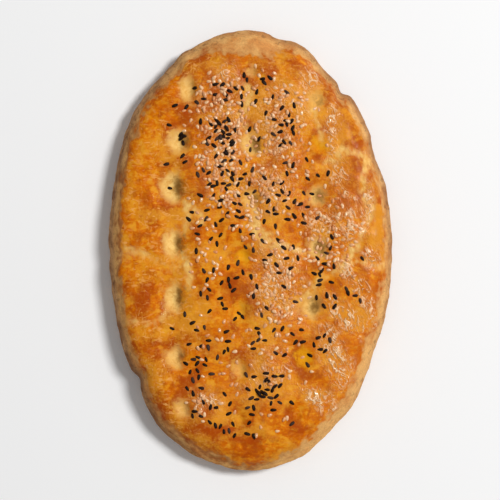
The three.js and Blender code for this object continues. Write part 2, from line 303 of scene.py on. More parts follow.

# Noises of the crust's colours: size in metres, detail, roughness, distortion, and for those drawn out, how
# far and in what direction.
BLOTCH = (0.009, 4, 0.6, 0.4)
MOTTLE = (0.0028, 4, 0.65, 0.6)
GRAIN = (0.0011, 3, 0.6)
PATCH = (0.021, 3, 0.55, 0.5)
SPOTS = (0.0052, 2, 0.5, 0.4)
CRUMB = (0.0013, 2, 0.6, 0.3)
BRUSH = (0.0024, 3, 0.6, 0.8, (2.4, 0))
STROKES = (0.0017, 1, 0.5, 0.6, (2.2, 0))
CROSS_STROKES = (0.0016, 1, 0.5, 0.6, (2, math.pi / 2))
DASHES = (0.0021, 1, 0.5)
WRINKLED = (1.8, math.radians(-62))  # how the ridges of the wrinkles are drawn out
BIG_RIDGES = (0.0036, 1, 0.5, 0.9, WRINKLED)
SMALL_RIDGES = (0.0023, 1, 0.5, 0.7, WRINKLED)

# ---- Seeds ----

SEED_BOX = 2.7  # how blunt a seed's ends are: 2 makes an ellipsoid
SEED_CUTS = (9, 5)  # how many sides a seed has around its length, and parts along it
SEED_RIDGE = 0.09  # how high the ridges along a seed stand, as a share of its radius
NIGELLA_SHAPE = (0.35, 3)  # how much narrower its tip is, and how many ridges run along it
SESAME_SHAPE = (0.45, 2)
SEED_SCALES = (0.88, 0.2)  # least, and how much more
SEED_SINK = 0.12  # share of its height by which a seed's middle lies below the crust
SEED_GAP = 2.8  # how far apart the middles of two seeds lie at least
SEED_TILT = 0.25  # how far a seed may tilt, in radians
SEED_REACH = 0.84  # share of the plain oval that the seeds stay inside
SEED_TRIES = 40
SEED_DICE = 90210

# The lane of nigella from end to end: half its length, how wide it spreads, and how far it leans towards +X.
LANE_HALF = 96
LANE_SPREAD = 19
LANE_LEAN = 0.045

# Where more seeds fell: middle, spread each way, and numbers of nigella and of sesame.
CLUMPS = (
    ((-17, 65), (4, 4.5), 12, 0),
    ((-15, 48), (6, 5), 9, 0),
    ((19, 71), (6, 6), 9, 0),
    ((-20, -22), (4, 6), 8, 0),
    ((-30, -70), (4, 5), 7, 0),
    ((11, -79), (5, 4), 13, 0),
    ((38, -52), (4, 4), 7, 0),
    ((27, 22), (7, 8), 8, 0),
    ((-12, 68), (12, 14), 0, 20),
    ((14, 68), (11, 18), 0, 18),
    ((48, 12), (9, 10), 0, 12),
    ((16, -30), (10, 12), 0, 12),
)
FINE_CLUMPS = (  # the seeds that the solid leaves out
    ((8, 0), (24, 45), 30, 0),
    ((-10, 20), (7, 9), 9, 0),
    ((25, 26), (8, 8), 6, 0),
    ((42, -6), (4, 6), 6, 0),
    ((-24, -52), (4, 8), 8, 0),
    ((8, -48), (8, 5), 7, 0),
    ((-4, -98), (14, 6), 9, 0),
    ((-16, 84), (12, 8), 5, 0),
    ((-30, 40), (12, 18), 8, 0),
    ((-15, 38), (5, 6), 9, 0),
    ((3, 91), (8, 5), 8, 0),
    ((20, 62), (5, 9), 4, 0),
    ((42, -20), (12, 8), 9, 0),
    ((28, -22), (8, 9), 5, 0),
    ((-16, -101), (8, 3), 4, 0),
    ((-34, -46), (6, 5), 3, 0),
    ((-31, -78), (3, 6), 6, 0),
)
PILES = (  # seeds that lie close, some on one another
    ((-16, 63), (3, 5), 9, 0),
    ((-37, 60), (1.2, 2.2), 4, 0),
    ((11, -77), (4, 4), 8, 0),
    ((-21, 92), (5, 7), 0, 22),
    ((-16, 66), (8, 15), 0, 95),
    ((-12, 34), (8, 11), 0, 60),
    ((17, 66), (9, 19), 0, 90),
    ((8, 30), (9, 12), 0, 40),
    ((44, 8), (9, 11), 0, 75),
    ((15, -20), (8, 15), 0, 66),
    ((10, -58), (16, 16), 0, 34),
    ((-22, -10), (5, 8), 0, 16),
    ((-20, -56), (7, 8), 0, 14),
    ((-27, -85), (5, 4), 0, 9),
    ((-6, -96), (22, 7), 0, 11),
    ((-23, 8), (5, 12), 0, 16),
)
FINE_GAP = 2.5  # their gap, and that of the piles
PILE_GAP = 1.5
LYING_ON = 2  # two seeds nearer than this lie one on the other
PILE_LIFT = 0.45  # how far the upper one is lifted, as a share of its height


def dice(start):
    """A small random generator, so that every run scatters alike."""
    state = start
    while True:
        state = state * 16807 % 2147483647
        yield state / 2147483647


def either_way(roll):
    return 2 * next(roll) - 1


def bell(roll):
    """About a bell curve of spread 1, from three even draws."""
    return either_way(roll) + either_way(roll) + either_way(roll)


def smooth(low, high, value):
    """0 below low, 1 above high, and a smooth rise between."""
    share = np.clip((value - low) / (high - low), 0, 1)
    return share * share * (3 - 2 * share)


def fade(value, full, gone):
    """1 up to full, 0 beyond gone, and a smooth fall between."""
    return 1 - smooth(full, gone, value)


def hump(value, middle, spread):
    return np.exp(-(((value - middle) / spread) ** 2))


def turned(x, y, degrees):
    """The same points along axes turned by so many degrees."""
    c, s = math.cos(math.radians(degrees)), math.sin(math.radians(degrees))
    return x * c + y * s, y * c - x * s


def bent_wave(waves, along, aside, shift=0):
    """A wave from -1 to 1 whose crests bend to and fro."""
    long, bend, across = waves
    return np.sin(along / long + bend * np.sin(aside / across) + shift)


class LoafForm:
    """The loaf's smooth form, in millimetres, as functions of arrays of places."""

    def __init__(self, sizes):
        self.sides = (sizes.width / MM, sizes.length / MM)
        self.crown = sizes.crown / MM
        self.level = sizes.rim_level / MM
        self.depth_share = sizes.dimple_depth
        around = np.radians(np.arange(360))
        rim = np.stack([np.cos(around), np.sin(around)]) * self.rim_share(around)
        self.middle = (rim.min(1) + rim.max(1)) / 2
        self.extent = rim.max(1) - rim.min(1)

    def rim_share(self, around):
        """The rim's radius in a direction, as a share of the plain oval's."""
        width, length = self.sides
        radius = np.hypot(width / 2 * np.cos(around), length / 2 * np.sin(around))
        share = np.ones_like(radius)
        for at, by, over in RIM_BULGES:
            turn = around - math.radians(at)
            off = np.arctan2(np.sin(turn), np.cos(turn)) / math.radians(over)
            share += by / radius * np.exp(-off * off)
        return share

    def plan_point(self, rho, around):
        """The point in plan at a share rho of the rim's radius."""
        radius = rho * self.rim_share(around)
        unit = (radius * np.cos(around), radius * np.sin(around))
        return [(unit[i] - self.middle[i]) * self.sides[i] / self.extent[i] for i in (0, 1)]

    def polar(self, x, y):
        """The share of the rim's radius and the direction of a point in plan."""
        u, v = (p * self.extent[i] / self.sides[i] + self.middle[i] for i, p in enumerate((x, y)))
        around = np.arctan2(v, u)
        return np.minimum(1, np.hypot(u, v) / self.rim_share(around)), around

    def rim_height(self, around):
        return self.level + sum(high * np.sin(times * around + shift) for high, times, shift in RIM_WAVES)

    @staticmethod
    def apart(dimple, x, y):
        """How far each point is from a dimple's middle, where 1 is half way up its side."""
        place, reach = dimple[:2]
        dx, dy = x - place[0], y - place[1]
        return np.hypot(dx / reach[0] / (1 - DIMPLE_SKEW * np.sign(dx)), dy / reach[1])

    def dimple_depth(self, x, y):
        depth = np.zeros_like(x)
        for dimple in DIMPLES:
            place, deep = dimple[0], dimple[2]
            depth += deep / (1 + self.apart(dimple, x, y) ** DIMPLE_WALL)
            depth += SAG_DEPTH * hump(np.hypot(x - place[0], y - place[1]), 0, SAG_RADIUS)
        return depth * self.depth_share

    @staticmethod
    def crease_distances(x, y):
        """The depth of each crease, how pale it is, and how far each point lies from it."""
        x = x + CREASE_WAVER * bent_wave(WAVES_X, y, x)
        y = y + CREASE_WAVER * bent_wave(WAVES_Y, x, y)
        for deep, pale, points in CREASES:
            nearest = np.full_like(x, np.inf)
            for (ax, ay), (bx, by) in zip(points, points[1:]):
                length2 = (bx - ax) ** 2 + (by - ay) ** 2
                t = np.clip(((x - ax) * (bx - ax) + (y - ay) * (by - ay)) / length2, 0, 1)
                nearest = np.minimum(nearest, np.hypot(x - ax - t * (bx - ax), y - ay - t * (by - ay)))
            yield deep, pale, nearest

    def crease_depth(self, x, y):
        depth = np.zeros_like(x)
        for deep, _, off in self.crease_distances(x, y):
            depth = np.maximum(depth, deep * hump(off, 0, CREASE_WIDTH))
        return depth

    def crease_paleness(self, x, y):
        return np.max([pale * hump(off, 0, CREASE_PALE) for _, pale, off in self.crease_distances(x, y)], 0)

    @staticmethod
    def swell_height(x, y):
        height = np.zeros_like(x)
        for high, long, turn, shift, bend, across in SWELLS:
            height += high * bent_wave((long, bend, across), *turned(x, y, turn), shift)
        return height

    def crust(self, x, y):
        """The crust's height over points in plan."""
        rho, around = self.polar(x, y)
        level = self.rim_height(around)
        relief = self.swell_height(x, y) - self.dimple_depth(x, y) - self.crease_depth(x, y) + SAG_DEPTH
        return level + (self.crown - level) * self.profile(rho) + relief * (1 - smooth(RELIEF_END, 1, rho))

    @staticmethod
    def profile(rho):
        """The top's height above the rim, as a share of the crown's."""
        inward = np.maximum(1 - rho, 1e-9) / SHOULDER
        slope = np.sqrt(inward * (inward + RIM_ROUND))
        return (1 + slope**-SHOULDER_POWER) ** (-1 / SHOULDER_POWER) * (1 - DOME * rho**2)

    def cross_section(self):
        """The cross-section from the middle of the top, over the rim and under to the middle of the
        underside: the share of the radius, the share of the rim's level that is left, and the area up to
        each point."""
        t = np.arange(1, ARC_STEPS + 1) / ARC_STEPS
        turn = t * math.pi / 2
        top = np.sin(turn)
        rho = np.concatenate([[0], top, 1 - (1 - FOOT_SHARE) * (1 - np.cos(turn)), FOOT_SHARE * (1 - t)])
        drop = np.concatenate([np.ones(1 + ARC_STEPS), 1 - np.sin(turn), np.zeros(ARC_STEPS)])
        height = self.level * drop
        height[: ARC_STEPS + 1] += (self.crown - self.level) * self.profile(rho[: ARC_STEPS + 1])
        weight = np.repeat([1, 1, UNDERSIDE_WEIGHT], ARC_STEPS)
        slant = np.hypot(sum(self.sides) / 4 * np.diff(rho), np.diff(height))
        area = np.concatenate([[0], np.cumsum(weight * (rho[1:] + rho[:-1]) * slant)])
        return rho, drop, area

    def wrap(self, sphere):
        """Carries points of a unit sphere to the loaf: their places, and what the skin is painted by."""
        rho, drop, area = self.cross_section()
        share = np.clip((1 - sphere[:, 2]) / 2, 0, 1) * area[-1]
        top = share <= area[ARC_STEPS]
        rho = np.interp(share, area, rho)
        drop = np.interp(share, area, drop)
        around = np.arctan2(sphere[:, 1], sphere[:, 0])
        x, y = self.plan_point(rho, around)
        z = np.where(top, self.crust(x, y), self.rim_height(around) * drop)
        return np.stack([x, y, z], 1), top, rho, drop, around


def noise_at(places, size, octaves, start):
    """Noise from about -1 to 1 at each place, with bumps of about that size in millimetres."""
    shift = Vector([start * step for step in NOISE_STEP])
    return np.array([noise.fractal(Vector(p) / size + shift, 1, 2, octaves) for p in places])


def dimple_looks(form, x, y, waver):
    """How near each point is to a dimple, from 0 to 1, the pale dough and the yolk that show there, the dark
    painted shade on its +X side, and the browner crust beside it."""
    inside, pale, yolk, dimple_shade, ring = (np.zeros_like(x) for _ in range(5))
    warp_x, warp_y = x + waver, y - waver
    for dimple in DIMPLES:
        place, reach, _, dough, pooled = dimple
        off = form.apart(dimple, warp_x, warp_y)
        across, along = warp_x - place[0], (warp_y - place[1]) / reach[1]
        inside = np.maximum(inside, fade(form.apart(dimple, x, y), *MATT_FADE))
        left = smooth(*LEFT_SIDE, across / reach[0])
        pale_fade = [end + more * left for end, more in zip(PALE_FADE, PALE_FADE_LEFT)]
        pale = np.maximum(pale, dough * fade(off, *pale_fade))
        yolk = np.maximum(yolk, pooled * fade(off, *YOLK_FADE))
        # Painted shade: the dough darkened towards the dimple's +X side, whose wall is turned from the key
        # light, weaker for dimples further towards +X.
        side = SHADE_SHIFT[0] + SHADE_SHIFT[1] * place[0]
        baked = dough * (SHADE_SHARE[0] + SHADE_SHARE[1] * place[0])
        dimple_shade = np.maximum(dimple_shade, baked * fade(np.hypot((across - side) / reach[0], along), *SHADE_FADE))
        ring = np.maximum(ring, hump(np.hypot((across - RING_SHIFT) / reach[0], along), *RING))
    return inside, pale, yolk, dimple_shade, ring


def strongest(patches, reach, x, y):
    """How strong the strongest of some soft-edged patches is at each point."""
    share = np.zeros_like(x)
    for at, spread, turn, strength in patches:
        dx, dy = turned(x - at[0], y - at[1], turn)
        share = np.maximum(share, strength * hump(np.hypot(dx / spread[0], dy / spread[1]), 0, reach))
    return share


def around_rim(table, degrees):
    """The value that a table of directions and values has in each direction."""
    return np.interp(degrees, *zip(*table), period=360)


def skin(form, places, top, rho, drop, around):
    """The fine relief of the baked skin, in millimetres, and what its colours follow."""
    x, y = places[:, 0], places[:, 1]
    degrees = np.degrees(around) % 360
    broad, middling, fine = (noise_at(places, *bumps) for bumps in (BROAD, MIDDLING, FINE))
    crease = form.crease_paleness(x, y) * smooth(-1.2, 0, noise_at(places, *CREASE_BREAKS))
    waver = DIMPLE_WAVER[0] * middling + DIMPLE_WAVER[1] * fine
    inside, pale, yolk, dimple_shade, ring = dimple_looks(form, x, y, waver)

    edge = around_rim(GLAZE_EDGE, degrees) + EDGE_WAVER[0] * middling + EDGE_WAVER[1] * fine
    glaze = np.where(top, fade(rho, edge - EDGE_FADE, edge + EDGE_FADE), 0)
    wrinkled = strongest(WRINKLES, WRINKLES_REACH, x, y) * (1 + 0.8 * middling)
    wrinkled = np.clip(wrinkled, 0, 1) * glaze * (1 - 0.8 * inside)

    sunny = np.cos(around - SUNNY_SIDE)
    # Painted shade and light on the side wall: darker on its -X side, which is turned from the key light, a
    # little darker on the side toward the key light to offset that light, and paler at the -Y end, where the
    # key light leaves shade.
    shaded = 0.35 + 0.65 * smooth(0.25, 0.95, -np.cos(around))
    darkened_share = 0.45 + 0.55 * shaded + 0.15 * smooth(0.5, 1, sunny)
    darkened_share -= 0.45 * hump(degrees, PAINTED_LIGHT_END, PAINTED_LIGHT_END_SPREAD)
    darkened_share = np.where(top, darkened_share, darkened_share + (1 - darkened_share) * smooth(1, 0.2, drop))
    wall = np.where(top, smooth(0.9, 1, rho), np.minimum(1, drop * 4))
    under = np.where(top, 0, fade(drop, 0, 0.25))
    # The browning, with painted shade in it from the browned patches above.
    brown_and_shade = 0.4 + 0.4 * broad + 0.25 * middling + 0.4 * ring + strongest(BROWNED_AND_SHADED, BROWNED_REACH, x, y)
    brown_and_shade += 0.4 * hump(rho, 0.9, 0.035) * smooth(0.2, 0.8, sunny)
    brown_and_shade -= 0.5 * crease

    ridges = noise_at(places + RIDGE_BEND * fine[:, None], *RIDGES)
    ridges = np.clip(1 - np.abs(ridges) * RIDGE_THINNESS, 0, 1) ** 1.5
    relief = GLAZE_RELIEF * middling * glaze * (1 - 0.6 * inside)
    relief += RIDGE_RELIEF * (ridges - 0.4) * wrinkled
    relief += wall * (LUMP_RELIEF * noise_at(places * WALL_SQUEEZE, *WALL_LUMPS) + WALL_RELIEF * fine)
    relief -= under * PIT_RELIEF * smooth(-0.1, 0.6, noise_at(places, *SCORCH_PITS))
    paint = {
        "glaze": glaze,
        "pale": np.clip(np.maximum(pale, crease * (1 + 0.6 * middling + 0.9 * fine)), 0, 1) * top,
        "dimple": inside * top,
        "yolk": yolk * top,
        # the dark painted shade on the +X side of each dimple
        "dimple_shade": dimple_shade * top,
        "brown_and_shade": np.clip(brown_and_shade, 0, 1),
        "wrinkle_and_glint": wrinkled,
        # the wall's share, with the painted shade and light of the side wall in it
        "wall": wall * darkened_share,
        "under": under,
        "stroked": 0.25 + 0.75 * smooth(-14, -44, x) + 0.4 * smooth(70, 100, y),
        "sown": strongest(SOWN, SOWN_REACH, x, y) * glaze * (1 - 0.8 * inside),
        "edge": np.where(top, hump(rho, edge + EDGE_AT, EDGE_WIDTH), 0) * around_rim(EDGE_LINE, degrees),
    }
    return relief, paint


# ---- Materials ----


def linear(red, green, blue):
    """A colour given as 0 to 255 on the screen, as Blender's nodes take it."""
    shares = (red / 255, green / 255, blue / 255)
    return tuple(c / 12.92 if c < 0.0404 else ((c + 0.055) / 1.055) ** 2.4 for c in shares)


class Recipe:
    """A material whose nodes are added one by one, each joined to what it takes."""

    def __init__(self, name):
        self.material = bpy.data.materials.new(name)
        self.material.use_nodes = True
        self.tree = self.material.node_tree
        self.shader = self.tree.nodes["Principled BSDF"]
        self.places = self.add("ShaderNodeTexCoord", {}).outputs["Object"]

    def fill(self, node, inputs):
        for name, value in inputs.items():
            if isinstance(value, bpy.types.NodeSocket):
                self.tree.links.new(value, node.inputs[name])
            elif node.inputs[name].type == "RGBA" and len(value) == 3:
                node.inputs[name].default_value = (*value, 1)
            else:
                node.inputs[name].default_value = value
        return node

    def add(self, kind, inputs, **settings):
        node = self.tree.nodes.new(kind)
        for name, value in settings.items():
            setattr(node, name, value)
        return self.fill(node, inputs)

    def noise(self, size, detail=3, roughness=0.55, distortion=0, along=None):
        """Noise from 0 to 1 with bumps of about that size in metres, drawn out along a direction."""
        places = self.places
        if along:
            stretch, turn = along
            for field, value in (("Rotation", (0, 0, -turn)), ("Scale", (1 / stretch, 1, 1))):
                places = self.add("ShaderNodeMapping", {"Vector": places, field: value}).outputs[0]
        inputs = {
            "Vector": places,
            "Scale": 1 / size,
            "Detail": detail,
            "Roughness": roughness,
            "Distortion": distortion,
        }
        return self.add("ShaderNodeTexNoise", inputs).outputs[0]

    def painted(self, name):
        """What was painted on the mesh under that name."""
        return self.add("ShaderNodeAttribute", {}, attribute_name=name).outputs["Fac"]

    def rise(self, value, low, high, to_low=0, to_high=1):
        """A smooth rise of value from low to high."""
        inputs = {"Value": value, "From Min": low, "From Max": high, "To Min": to_low, "To Max": to_high}
        return self.add("ShaderNodeMapRange", inputs, interpolation_type="SMOOTHSTEP").outputs[0]

    def sum(self, first, second, kind="ADD"):
        return self.add("ShaderNodeMath", {0: first, 1: second}, operation=kind).outputs[0]

    def product(self, first, second):
        return self.sum(first, second, "MULTIPLY")

    def mix(self, share, first, second):
        """first where share is 0 and second where it is 1."""
        return self.add("ShaderNodeMix", {0: share, 6: first, 7: second}, data_type="RGBA").outputs[2]

    def bump(self, height, distance, below=None):
        """Relief of a height from 0 to 1 over a distance in metres, on top of the relief below."""
        inputs = {"Height": height, "Distance": distance}
        if below is not None:
            inputs["Normal"] = below
        return self.add("ShaderNodeBump", inputs).outputs[0]

    def finish(self, **inputs):
        self.fill(self.shader, {name.replace("_", " "): value for name, value in inputs.items()})
        return self.material


class CrustRecipe(Recipe):
    """Egg-glazed crust, with the pale dough of the dimples, the matt side wall and the baked underside."""

    def __init__(self, colours):
        super().__init__("glazed_crust")
        self.colours = colours
        self.blotch = self.noise(*BLOTCH)
        self.mottle = self.noise(*MOTTLE)
        self.grain = self.noise(*GRAIN)
        self.patch = self.noise(*PATCH)

    def mottled(self, value, by):
        """A value that the mottling raises and lowers by up to half that much."""
        return self.sum(value, self.product(self.sum(self.mottle, -0.5), by))

    def glazed(self):
        """The glaze, streaked, spotted, browned in places with painted shade among the browning, thin in
        others and dried in brush strokes.
        """
        c = self.colours
        streaks = self.sum(self.mottle, self.noise(*BRUSH))
        colour = self.mix(self.rise(streaks, 0.78, 1.16), c.glaze_light, c.glaze)
        blotched = self.sum(streaks, self.product(self.blotch, 0.6))
        colour = self.mix(self.rise(blotched, 1.02, 1.22, 0.5, 0), colour, c.glaze_thin)
        spots = self.noise(*SPOTS)
        colour = self.mix(self.rise(spots, 0.54, 0.7, 0, 0.65), colour, c.glaze_deep)
        colour = self.mix(self.rise(spots, 0.45, 0.3, 0, 0.65), colour, c.glaze_thin)
        uneven = self.sum(self.product(self.blotch, 1.2), -0.5)
        # Browning, with the painted shade that the browned patches carry.
        browning_and_shade = self.sum(self.product(self.painted("brown_and_shade"), 0.8), uneven)
        colour = self.mix(self.rise(browning_and_shade, 0.4, 0.9, 0, 0.88), colour, c.glaze_deep)
        patches = self.sum(self.patch, self.product(self.grain, 0.25))
        colour = self.mix(self.rise(patches, 0.57, 0.76, 0, 0.6), colour, c.glaze_thin)
        strokes = self.rise(self.noise(*STROKES), 0.56, 0.7, 0, 0.75)
        crossing = self.rise(self.noise(*CROSS_STROKES), 0.58, 0.72, 0, 0.5)
        strokes = self.product(self.sum(strokes, crossing, "MAXIMUM"), self.painted("stroked"))
        kept = self.rise(self.sum(self.patch, self.blotch), 0.85, 1.15, 0.2, 1)
        return self.mix(self.product(strokes, kept), colour, c.glaze_stroke)

    def dimpled(self, colour):
        """Yolk pooled in the dimples, the pale dough that shows in them, and that dough darkened as painted
        shade on their +X side.
        """
        c = self.colours
        streaky = self.sum(self.sum(self.mottle, self.blotch), -1)
        pooled = self.rise(self.sum(self.painted("yolk"), self.product(streaky, 1.6)), 0.1, 0.9, 0, 0.88)
        colour = self.mix(pooled, colour, c.yolk)
        dough = self.mix(self.rise(self.mottle, 0.3, 0.7), c.dough, c.dough_warm)
        # Painted shade: the dough darkened where the dimple's wall is turned from the key light.
        darkened_share = self.rise(self.mottled(self.painted("dimple_shade"), 0.4), 0.1, 0.85, 0, 0.96)
        dough = self.mix(darkened_share, dough, c.dough_in_shade)
        pale = self.rise(self.mottled(self.painted("pale"), 1.2), 0.05, 0.92, 0, 0.95)
        return self.mix(pale, colour, dough)

    def sown(self, colour):
        """Pale crumbs of glaze between the sesame seeds, and dark specks there that are painted shade between
        the seeds.
        """
        crumb, sown = self.noise(*CRUMB), self.painted("sown")
        # Painted shade: dark specks between the sesame seeds.
        dark = self.product(self.rise(crumb, 0.49, 0.37, 0, 0.6), sown)
        pale = self.product(self.rise(crumb, 0.54, 0.62, 0, 0.6), sown)
        return self.mix(pale, self.mix(dark, colour, self.colours.glaze_edge), self.colours.sesame)

    def bare(self):
        """The rim, the side wall and the underside, which have no glaze."""
        c = self.colours
        wall = self.painted("wall")
        peach = self.sum(self.blotch, self.product(self.sum(self.painted("brown_and_shade"), -0.4), 0.3))
        rim_tone = self.mix(self.rise(peach, 0.45, 0.8, 0, 0.8), c.rim, c.rim_peach)
        wall_tone = self.mix(self.rise(peach, 0.35, 0.68), c.wall, c.wall_brown)
        # The wall's share carries the side wall's painted shade, towards the darker wall tone.
        colour = self.mix(self.rise(wall, 0.35, 0.95), rim_tone, wall_tone)
        colour = self.mix(self.rise(self.grain, 0.35, 0.65, 0, 0.22), colour, c.wall_brown)
        cracks = self.product(self.rise(self.mottle, 0.46, 0.36, 0, 0.8), wall)
        colour = self.mix(cracks, colour, c.wall_dark)
        scorch = self.sum(self.patch, self.product(self.sum(self.mottle, self.grain), 0.5))
        floor_tone = self.mix(self.rise(scorch, 0.72, 1.3), c.wall, c.underside)
        floor_tone = self.mix(self.rise(self.mottle, 0.42, 0.34, 0, 0.6), floor_tone, c.wall_dark)
        return self.mix(self.painted("under"), colour, floor_tone)

    def wrinkled(self, colour):
        """The colour with the ridges of the wrinkled glaze painted pale, partly dried glaze and partly a
        painted highlight for the glints on them, and how high the ridges stand.
        """
        wrinkle_and_glint = self.painted("wrinkle_and_glint")
        noises = (self.noise(*BIG_RIDGES), self.noise(*SMALL_RIDGES))
        off_big, off_small = (self.sum(self.sum(n, -0.5), 0, "ABSOLUTE") for n in noises)
        big, small = self.rise(off_big, 0, 0.1, 1, 0), self.rise(off_small, 0, 0.08, 0.75, 0)
        dashes = self.rise(self.noise(*DASHES), 0.36, 0.5, 0.2, 1)
        ridges = self.product(self.product(self.sum(big, small, "MAXIMUM"), wrinkle_and_glint), dashes)
        veil = self.product(self.rise(off_big, 0.03, 0.28, 0.8, 0.1), wrinkle_and_glint)
        colour = self.mix(veil, colour, self.colours.wrinkle_soft)
        # Painted highlight: the ridges take the pale colour of the glints on them, and of the dried glaze.
        return self.mix(self.rise(ridges, 0.1, 0.9, 0, 0.9), colour, self.colours.wrinkle_and_glint), ridges


def crust_material(colours):
    r = CrustRecipe(colours)
    glaze = r.painted("glaze")
    top = r.sown(r.dimpled(r.glazed()))
    colour = r.mix(r.rise(r.mottled(glaze, 0.7), 0.15, 0.8), r.bare(), top)
    edge = r.product(r.painted("edge"), r.rise(r.blotch, 0.3, 0.5, 0.6, 1))
    colour, ridges = r.wrinkled(r.mix(edge, colour, colours.glaze_edge))
    relief = r.bump(ridges, 0.00045)
    relief = r.bump(r.product(r.mottle, r.rise(glaze, 0, 1, 1, 0.4)), 0.0005, relief)
    relief = r.bump(r.product(r.grain, r.rise(glaze, 0, 1, 1, 0.3)), 0.0002, relief)
    gloss = r.product(glaze, r.rise(r.painted("dimple"), 0, 1, 1, 0.2))
    return r.finish(
        Base_Color=colour,
        Roughness=r.rise(gloss, 0, 1, 0.8, 0.5),
        Normal=relief,
        Coat_Weight=r.product(gloss, r.rise(ridges, 0, 0.6, 0.05, 1)),
        Coat_Roughness=0.08,
        Coat_Normal=relief,
        Specular_IOR_Level=0.04,
    )


def nigella_material(colours):
    """Dull black seed coat, pitted and a little greyer on some seeds."""
    r = Recipe("nigella_seed")
    pits = r.noise(0.0004, 2)
    tone = r.mix(r.rise(r.painted("tone"), 0.7, 1), colours.nigella, colours.nigella_grey)
    return r.finish(
        Base_Color=tone,
        Roughness=0.55,
        Normal=r.bump(pits, 0.00012),
        Specular_IOR_Level=0.15,
    )


def sesame_material(colours):
    """Cream to browned seed coat under a film of glaze."""
    r = Recipe("sesame_seed")
    tone = r.mix(r.painted("tone"), colours.sesame, colours.sesame_toasted)
    tone = r.mix(r.rise(r.noise(0.0007, 2), 0.4, 0.7, 0, 0.35), tone, colours.sesame_toasted)
    return r.finish(Base_Color=tone, Roughness=0.4, Coat_Weight=0.7, Coat_Roughness=0.1)


def floor_material(colours):
    r = Recipe("pale_floor")
    return r.finish(Base_Color=colours.floor, Roughness=0.9, Specular_IOR_Level=0.1)


# ---- Sizes and colours in the sidebar ----


def size_property(name, description, default):
    return FloatProperty(
        name=name, description=description, default=default, unit="LENGTH", subtype="DISTANCE"
    )


def colour_property(name, description, red, green, blue):
    return FloatVectorProperty(
        name=name, description=description, default=linear(red, green, blue), subtype="COLOR", min=0, max=1
    )


class BarbariSizes(bpy.types.PropertyGroup):
    """Sizes of the loaf."""

    length: size_property("Length", "Length of the loaf, end to end", LOAF_HIGH.y - LOAF_LOW.y)
    width: size_property("Width", "Width of the loaf, side to side", LOAF_HIGH.x - LOAF_LOW.x)
    crown: size_property("Crown", "Height of the dough in the middle, away from the dimples", 0.027)
    rim_level: size_property("Rim level", "Height at which the loaf is widest", 0.010)
    dimple_depth: FloatProperty(
        name="Dimple depth", description="Depth of the finger dimples, as a share", default=1, min=0, max=1.5
    )


class BarbariSeeds(bpy.types.PropertyGroup):
    """Sizes and numbers of the seeds."""

    nigella_length: size_property("Nigella length", "Length of a nigella seed", 0.0037)
    nigella_width: size_property("Nigella width", "Width of a nigella seed", 0.0024)
    nigella_height: size_property("Nigella height", "Height of a nigella seed", 0.0019)
    sesame_length: size_property("Sesame length", "Length of a sesame seed", 0.0030)
    sesame_width: size_property("Sesame width", "Width of a sesame seed", 0.0022)
    sesame_height: size_property("Sesame height", "Height of a sesame seed", 0.0013)
    lane_nigella: IntProperty(
        name="Lane nigella", description="Nigella seeds sprinkled from end to end", default=92, min=0, max=400
    )


class BarbariColours(bpy.types.PropertyGroup):
    """Colours of the crust, the seeds and the floor."""

    glaze: colour_property("Glaze", "Egg-glazed crust", 212, 104, 0)
    glaze_light: colour_property("Light glaze", "Lighter mottling of the glaze", 230, 136, 10)
    # Also the colour of the painted shade that the browning carries.
    glaze_deep: colour_property("Deep glaze", "Deep browned glaze", 170, 66, 4)
    glaze_thin: colour_property("Thin glaze", "Yellowish thin glaze", 240, 165, 44)
    glaze_stroke: colour_property("Glaze strokes", "Dried pale strokes of the glaze brush", 246, 176, 98)
    # Also the colour of the dark specks of painted shade between the sesame seeds.
    glaze_edge: colour_property("Glaze edge", "Darker line where the glaze ends", 140, 64, 22)
    yolk: colour_property("Yolk", "Egg yolk pooled in the dimples", 236, 164, 18)
    wrinkle_soft: colour_property("Soft wrinkles", "Dull skin around the ridges of the glaze", 232, 146, 62)
    # Painted highlight: the pale colour of the glints on the wrinkles' ridges, and of the dried glaze there.
    wrinkle_and_glint: colour_property("Wrinkles", "Dried ridges of the wrinkled glaze", 252, 210, 162)
    dough: colour_property("Dough", "Pale dough in the dimples", 254, 214, 130)
    dough_warm: colour_property("Warm dough", "Pale dough, a little baked", 228, 170, 84)
    # The dark painted shade on the +X side of the dimples.
    dough_in_shade: colour_property("Toasted dough", "Browned dough in the dimples", 126, 91, 40)
    rim: colour_property("Rim", "Bare, pale rim", 240, 182, 108)
    rim_peach: colour_property("Peach rim", "Browner mottling of the rim", 220, 143, 74)
    wall: colour_property("Side wall", "Matt side wall", 206, 156, 106)
    wall_brown: colour_property("Toasted wall", "Toasted blotches of the side wall", 146, 102, 70)
    wall_dark: colour_property("Dark wall", "Dark pits and cracks of the side wall", 110, 76, 50)
    underside: colour_property("Underside", "Browned patches of the underside", 142, 84, 40)
    nigella: colour_property("Nigella", "Black seed coat", 30, 14, 5)
    nigella_grey: colour_property("Grey nigella", "Greyer seed coats", 66, 47, 38)
    sesame: colour_property("Sesame", "Cream seed coat", 248, 206, 156)
    sesame_toasted: colour_property("Toasted sesame", "Toasted seed coat", 218, 138, 74)
    floor: colour_property("Floor", "Pale floor under the loaf", 252, 252, 252)


class BarbariStage(bpy.types.PropertyGroup):
    """Camera and light."""

    camera_height: size_property("Camera height", "Height of the camera above the rim of the loaf", 0.8)
    view_width: size_property("View width", "Width of what the camera sees at the rim of the loaf", 0.2841)
    key_strength: FloatProperty(
        name="Key light", description="Power of the key light", default=46.5, min=0, unit="POWER"
    )
    fill_strength: FloatProperty(
        name="Fill", description="Strength of the light all around", default=0.31, min=0
    )


# ---- Making pieces ----


